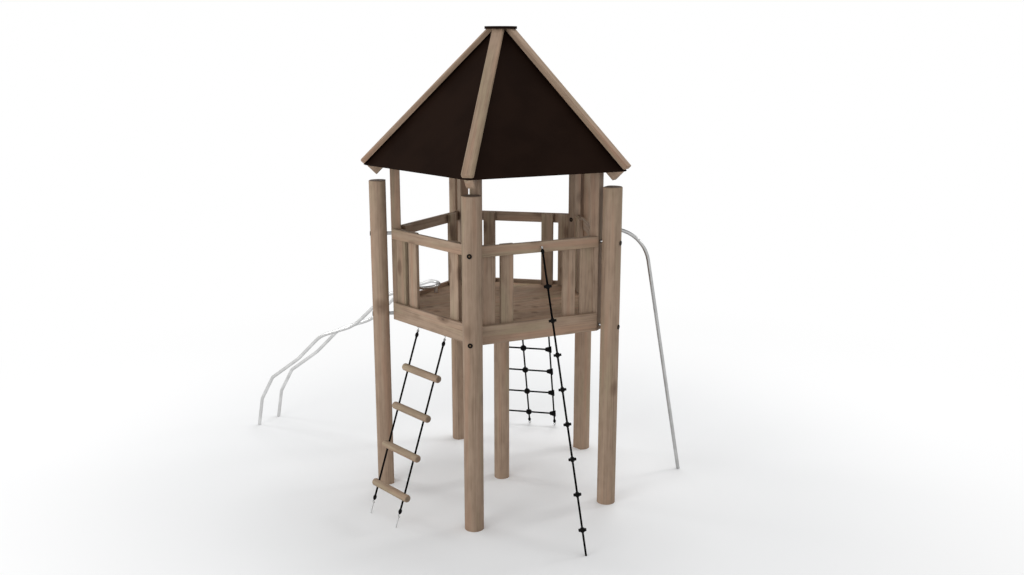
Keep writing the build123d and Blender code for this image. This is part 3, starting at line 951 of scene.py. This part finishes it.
# %% The climbing rope
feet = [v.co for v in nodes["climbing_rope"].data.vertices if v.co.z < 0.001]
climb_low = Vector([(min(p[axis] for p in feet) + max(p[axis] for p in feet)) / 2 for axis in range(3)])
climb_high = rope_line("climbing_rope", CLIMB)[1]
climb_up = (climb_high - climb_low).normalized()
climb_end = climb_high - climb_up * FERRULE_LENGTH
piece = twisted_rope("knotted_rope", climb_low - climb_up * LAY, climb_end)
pick_faces(piece, lambda centre, normal: True)
bpy.ops.mesh.bisect(plane_co=(0, 0, 0), plane_no=(0, 0, 1), use_fill=True, clear_inner=True)
bpy.ops.mesh.select_all(action="SELECT")
bpy.ops.mesh.normals_make_consistent(inside=False)
close_piece()
bpy.ops.object.select_all(action="DESELECT")
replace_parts(piece, "climbing_rope")
ferrule_places.append(along_line(climb_end, climb_high))
print("lowest point of the cut rope:", round(min(v.co.z for v in piece.data.vertices), 5), "m")

# %% [markdown]
# ## The net's ropes
# Three ropes run down and five run across. Those across could each be one rope, but the real ones
# are held by a block at every crossing. So they are made in two halves that meet in the middle,
# where a block will hide the joint.

# %% The net's ropes
NET_SPACING = 0.252
NET_LOWEST_ROW = 0.142
NET_TOP_GAP = 0.327
NET_ROWS = 5
beam_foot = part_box("beam_back")[0].z
columns = {}
for c in (-1, 0, 1):
    piece, places = rope_between(f"net_rope_down_{c + 2}", "climbing_net", NET, c * NET_SPACING)
    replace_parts(piece, "climbing_net")
    ferrule_places += places
    columns[c] = rope_line("climbing_net", NET, c * NET_SPACING)


def on_column(c, height):
    low, high = columns[c]
    return low.lerp(high, (height - low.z) / (high.z - low.z))


net_height = beam_foot - NET_TOP_GAP - NET_LOWEST_ROW
rows = [NET_LOWEST_ROW + net_height * n / (NET_ROWS - 1) for n in range(NET_ROWS)]
for n, height in enumerate(rows):
    for hand, c in enumerate((-1, 1)):
        name = f"net_rope_across_{2 * n + hand + 1}"
        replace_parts(twisted_rope(name, on_column(0, height), on_column(c, height)), "climbing_net")
print("rows at", [round(height, 3) for height in rows], "m")

# %% [markdown]
# ## The net's blocks
# A black block is moulded round each crossing: an eight-sided one in the middle, and a wedge at
# the two edges that grips the outer rope. Both are so small that a ball would nearly do, but
# their flat sides catch the light. The first is a cylinder of eight sides, whose two faces are
# inset and raised. The second is a cube whose one end is drawn together.

# %% The net's blocks
BLOCK_RADIUS = 0.0295
BLOCK_THICKNESS = 0.024
BLOCK_SIDES = 8
BLOCK_RIM = 0.006
BLOCK_RISE = 0.002
WEDGE_BACK = 0.0165
WEDGE_FRONT = 0.043
WEDGE_BACK_WIDTH = 0.069
WEDGE_TIP_WIDTH = 0.027


def middle_block():
    bpy.ops.mesh.primitive_cylinder_add(
        vertices=BLOCK_SIDES,
        radius=BLOCK_RADIUS,
        depth=BLOCK_THICKNESS,
        rotation=(0, 0, math.pi / BLOCK_SIDES),
    )
    obj = start_piece("block")
    for face_side in (1, -1):
        pick_faces(obj, lambda centre, normal: normal.z * face_side > 0.9)
        bpy.ops.mesh.inset(thickness=BLOCK_RIM, depth=BLOCK_RISE)
        close_piece()
    soften(obj, width=0.003, segments=3)
    dress(obj, "plastic")
    return obj


def edge_block():
    """A wedge in the XY plane: its back along Y grips the outer rope, its tip points along +X."""
    bpy.ops.mesh.primitive_cube_add(size=1)
    obj = start_piece("wedge")
    pick_faces(obj, lambda centre, normal: True)
    bpy.ops.transform.resize(value=(WEDGE_BACK + WEDGE_FRONT, WEDGE_BACK_WIDTH, BLOCK_THICKNESS))
    bpy.ops.transform.translate(value=((WEDGE_FRONT - WEDGE_BACK) / 2, 0, 0))
    close_piece()
    pick_faces(obj, lambda centre, normal: normal.x > 0.9)
    bpy.ops.transform.resize(
        value=(1, WEDGE_TIP_WIDTH / WEDGE_BACK_WIDTH, 1), center_override=(WEDGE_FRONT, 0, 0)
    )
    close_piece()
    soften(obj, width=0.004, segments=3)
    dress(obj, "plastic")
    return obj


def block_place(centre, sideways, up):
    """The matrix that lays a block in the net, its X along one direction and its Y up the rope."""
    return Matrix.Translation(centre) @ Matrix((sideways, up, sideways.cross(up))).transposed().to_4x4()


low, high = columns[0]
net_up = (high - low).normalized()
along_side = turn(NET) @ Vector((0, 1, 0))
middle_places = [block_place(on_column(0, height), along_side, net_up) for height in rows]
edge_places = [
    block_place(on_column(c, height), -c * along_side, net_up) for height in rows for c in (-1, 1)
]
repeat(middle_block(), "net_block", middle_places)
repeat(edge_block(), "net_edge_block", edge_places)

# %% [markdown]
# ## Pressed ends
# Every rope ends in a black sleeve that is pressed onto it: a bulb, which starts about as wide as
# the rope and ends in a narrow tip. It could be spun from a profile, but a cylinder with a few
# cuts along it needs no profile: each ring of points is scaled to its share of the radius.

# %% Ferrules
FERRULE_RADIUS = 0.0145
FERRULE_PROFILE = (0.58, 0.90, 1.0, 0.80, 0.38)


def pressed_end():
    half = FERRULE_LENGTH / 2
    cuts = len(FERRULE_PROFILE) - 1
    bpy.ops.mesh.primitive_cylinder_add(
        vertices=24, radius=FERRULE_RADIUS, depth=FERRULE_LENGTH, location=(0, 0, half)
    )
    obj = start_piece("ferrule")
    pick_faces(obj, lambda centre, normal: abs(normal.z) < 0.5)
    bpy.ops.mesh.subdivide(number_cuts=cuts - 1, quadcorner="INNERVERT")
    close_piece()
    for n, swell in enumerate(FERRULE_PROFILE):
        height = FERRULE_LENGTH * n / cuts
        pick_points(obj, lambda place: abs(place.z - height) < 0.001)
        bpy.ops.transform.resize(value=(swell, swell, 1), center_override=(0, 0, height))
        close_piece()
    soften(obj, width=0.0012)
    dress(obj, "plastic")
    return obj


repeat(pressed_end(), "ferrule", ferrule_places)

# %% [markdown]
# ## Footholds
# The climbing rope has round plates to stand on, each with a short hub on both sides. A plate
# could be joined from three cylinders, but their hidden faces would then lie inside each other.
# So it is one cylinder, whose faces are inset and drawn out into the hubs. The first and the last
# plate are measured from the CAD node, and the others lie evenly between them.

# %% Footholds on the climbing rope
FOOTHOLD_RADIUS = 0.030
FOOTHOLD_THICKNESS = 0.020
FOOTHOLDS = 8
HUB_RADIUS = 0.0135
HUB_HEIGHT = 0.008
HUB_REACH = FOOTHOLD_THICKNESS / 2 + HUB_HEIGHT


def foothold():
    bpy.ops.mesh.primitive_cylinder_add(vertices=40, radius=FOOTHOLD_RADIUS, depth=FOOTHOLD_THICKNESS)
    obj = start_piece("foothold")
    for face_side in (1, -1):
        pick_faces(obj, lambda centre, normal: normal.z * face_side > 0.9)
        bpy.ops.mesh.inset(thickness=FOOTHOLD_RADIUS - HUB_RADIUS, depth=0.0)
        bpy.ops.mesh.extrude_region_move(TRANSFORM_OT_translate={"value": (0, 0, face_side * HUB_HEIGHT)})
        close_piece()
    soften(obj, width=0.0028, segments=3)
    dress(obj, "plastic")
    return obj


heights = [(v.co - climb_low).dot(climb_up) for v in nodes["rope_footholds"].data.vertices]
first = min(heights) + HUB_REACH
last = max(heights) - HUB_REACH
foothold_places = [
    along_line(climb_low + climb_up * (first + (last - first) * n / (FOOTHOLDS - 1)), climb_high)
    for n in range(FOOTHOLDS)
]
for piece in repeat(foothold(), "foothold", foothold_places):
    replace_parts(piece, "rope_footholds")

# %% [markdown]
# ## Eyes and washers
# Each rope hangs in a small steel eye, and a washer lies where the eye's shank enters the timber.
# The shank is already in the CAD model. At the foot of each rope, an eye that is turned by a
# quarter links it to a pin in the ground. An eye could be a bent bar along a curve, but it is
# closed, so a torus does. A short neck is drawn out above and below, where it is welded on.

# %% Steel eyes and washers
EYE_RADIUS = 0.0095
EYE_WIRE = 0.0032
EYE_NECK = 0.002
WASHER_RADIUS = 0.014
WASHER_THICKNESS = 0.003
QUARTER = math.pi / 2


def eye():
    bpy.ops.mesh.primitive_torus_add(
        major_segments=28,
        minor_segments=10,
        major_radius=EYE_RADIUS,
        minor_radius=EYE_WIRE,
        rotation=(QUARTER, 0, 0),
    )
    obj = start_piece("eye")
    for face_side in (1, -1):
        pick_faces(obj, lambda centre, normal: centre.z * face_side > EYE_RADIUS + 0.8 * EYE_WIRE)
        bpy.ops.mesh.extrude_region_move(TRANSFORM_OT_translate={"value": (0, 0, face_side * EYE_NECK)})
        close_piece()
    bpy.ops.object.shade_smooth_by_angle(angle=SMOOTH_ANGLE)
    dress(obj, "steel")
    return obj


def washer():
    bpy.ops.mesh.primitive_cylinder_add(
        vertices=28, radius=WASHER_RADIUS, depth=WASHER_THICKNESS, location=(0, 0, -WASHER_THICKNESS / 2)
    )
    obj = start_piece("washer")
    soften(obj, width=0.0008)
    dress(obj, "steel")
    return obj


eye_places = []
washer_places = []
for angle, node, offsets in (
    (LADDER, "ladder_ropes", LADDER_OFFSETS),
    (NET, "climbing_net", (-NET_SPACING, 0.0, NET_SPACING)),
):
    for offset in offsets:
        low, high = rope_line(node, angle, offset)
        up = (high - low).normalized()
        eye_places.append(Matrix.Translation(high + up * EYE_RADIUS) @ turn(angle))
        eye_places.append(Matrix.Translation(low + up * LINK[node] / 2) @ turn(angle + QUARTER))
        entry = high + up * ((beam_foot - high.z) / up.z)
        washer_places.append(Matrix.Translation(entry) @ turn(angle))
repeat(eye(), "rope_eye", eye_places)
repeat(washer(), "washer", washer_places)

# %% [markdown]
# ## The studio floor
# The tower stands on a pale floor that catches soft shadows. A ring round the tower is painted a
# little darker than the floor under it, as a painted shadow, and the floor fades to white far away,
# so that the horizon doesn't show. A curved backdrop would hide the horizon too, but only from one
# side. The white is seen by the camera, in reflections and through glass, and gives no light to the
# tower.

# %% The floor
WHITE = colour(1, 1, 1)
UNDER_TOWER = colour(0.870, 0.880, 0.890)
PAINTED_SHADOW_RING = colour(0.785, 0.793, 0.800)
FAR_FLOOR = colour(0.885, 0.887, 0.890)
FLOOR_SIDE = 80
PAINTED_SHADOW_FROM = (0.9, 1.9)
PALER_FROM = (1.9, 5.0)
WHITE_FROM = (2.2, 6.8)


def seen(paint):
    """1 for what the camera sees, also by a reflection or through glass."""
    camera_ray, glossy_ray, glass_ray = [
        paint.node("ShaderNodeLightPath", output=kind)
        for kind in ("Is Camera Ray", "Is Glossy Ray", "Is Transmission Ray")
    ]
    return camera_ray.maths("MAXIMUM", glossy_ray.maths("MAXIMUM", glass_ray))


bpy.ops.mesh.primitive_plane_add(size=FLOOR_SIDE, location=(0, 0, 0))
studio_floor = start_piece("studio_floor")
paint = new_paint("pale_floor")
x, y, z = paint.point()
distance = (x * x + y * y) ** 0.5
# Painted shadow: the floor is darker in a ring round the tower than under it and far away.
floor_with_painted_shadow = paint.mix(distance.above(*PAINTED_SHADOW_FROM), UNDER_TOWER, PAINTED_SHADOW_RING)
floor_with_painted_shadow = paint.mix(distance.above(*PALER_FROM), floor_with_painted_shadow, FAR_FLOOR)
matt = paint.node("ShaderNodeBsdfDiffuse", None, {"Color": floor_with_painted_shadow})
white = paint.node("ShaderNodeEmission", None, {"Color": WHITE, "Strength": 1.0})
fade = distance.above(*WHITE_FROM) * seen(paint)
paint.surface(paint.node("ShaderNodeMixShader", None, {0: fade, 1: matt, 2: white}))
studio_floor.data.materials.append(paint.owner)
print("floor of", tuple(round(side) for side in studio_floor.dimensions[:2]), "m")

# %% [markdown]
# ## The world
# The world is white to the camera and in reflections, and a little less bright as a light. A
# picture of a real studio could light the tower, but it would show in the steel. Two Background
# shaders do it without a picture, and the kind of ray chooses between them.

# %% The world
WORLD_LIGHT = 0.72
world = bpy.data.worlds.new("studio")
bpy.context.scene.world = world
sky = Paint(world)
lit = sky.node("ShaderNodeBackground", None, {"Color": WHITE, "Strength": WORLD_LIGHT})
shown = sky.node("ShaderNodeBackground", None, {"Color": WHITE, "Strength": 1.0})
choice = sky.node("ShaderNodeMixShader", None, {0: seen(sky), 1: lit, 2: shown})
sky.surface(choice, "ShaderNodeOutputWorld")
print("world light", WORLD_LIGHT)

# %% [markdown]
# ## Lamps
# The key lamp stands low in front and to the left, so that its light also reaches the posts under
# the deck. The second lamp hangs high over the tower and puts a soft shadow right under it, and
# one lamp on each side fills that shadow. All are wide discs, because a wide lamp makes a soft
# shadow, and all point at the tower's middle.

# %% Lamps
LAMP_TARGET = Vector((0, 0, 1.6))


def lamp(name, location, size, power):
    data = bpy.data.lights.new(name, "AREA")
    data.shape = "DISK"
    data.size = size
    data.energy = power
    obj = bpy.data.objects.new(name, data)
    bpy.context.scene.collection.objects.link(obj)
    obj.location = location
    obj.rotation_euler = (LAMP_TARGET - Vector(location)).to_track_quat("-Z", "Y").to_euler()
    print("lamp", name, "of", power, "W")


lamp("key", (-5.0, -8.5, 2.6), 5.0, 315.0)
lamp("top", (0.3, 2.0, 9.5), 3.5, 240.0)
lamp("left", (-8.0, 1.5, 4.5), 2.0, 90.0)
lamp("right", (6.5, 4.5, 5.5), 2.0, 120.0)

# %% [markdown]
# ## Camera
# The camera has the place, the turn and the lens that make the render line up with the
# photograph. The lens is told by the photograph's focal length in pixels, and the sensor's width
# turns it into millimetres.

# %% Camera
FOCAL_PIXELS = 1008.4
FRAME_WIDTH = 1024
CAMERA_PLACE = (1.7756, -8.0157, 3.665)
CAMERA_DIP = math.radians(13.47)
CAMERA_TURN = math.radians(11.87)
camera_data = bpy.data.cameras.new("camera")
camera_data.sensor_width = 36.0
camera_data.lens = FOCAL_PIXELS / FRAME_WIDTH * camera_data.sensor_width
camera = bpy.data.objects.new("camera", camera_data)
bpy.context.scene.collection.objects.link(camera)
camera.location = CAMERA_PLACE
camera.rotation_euler = (math.radians(90) - CAMERA_DIP, 0, CAMERA_TURN)
bpy.context.scene.camera = camera
bpy.context.scene.view_settings.view_transform = "Standard"
print("lens of", round(camera_data.lens, 2), "mm")
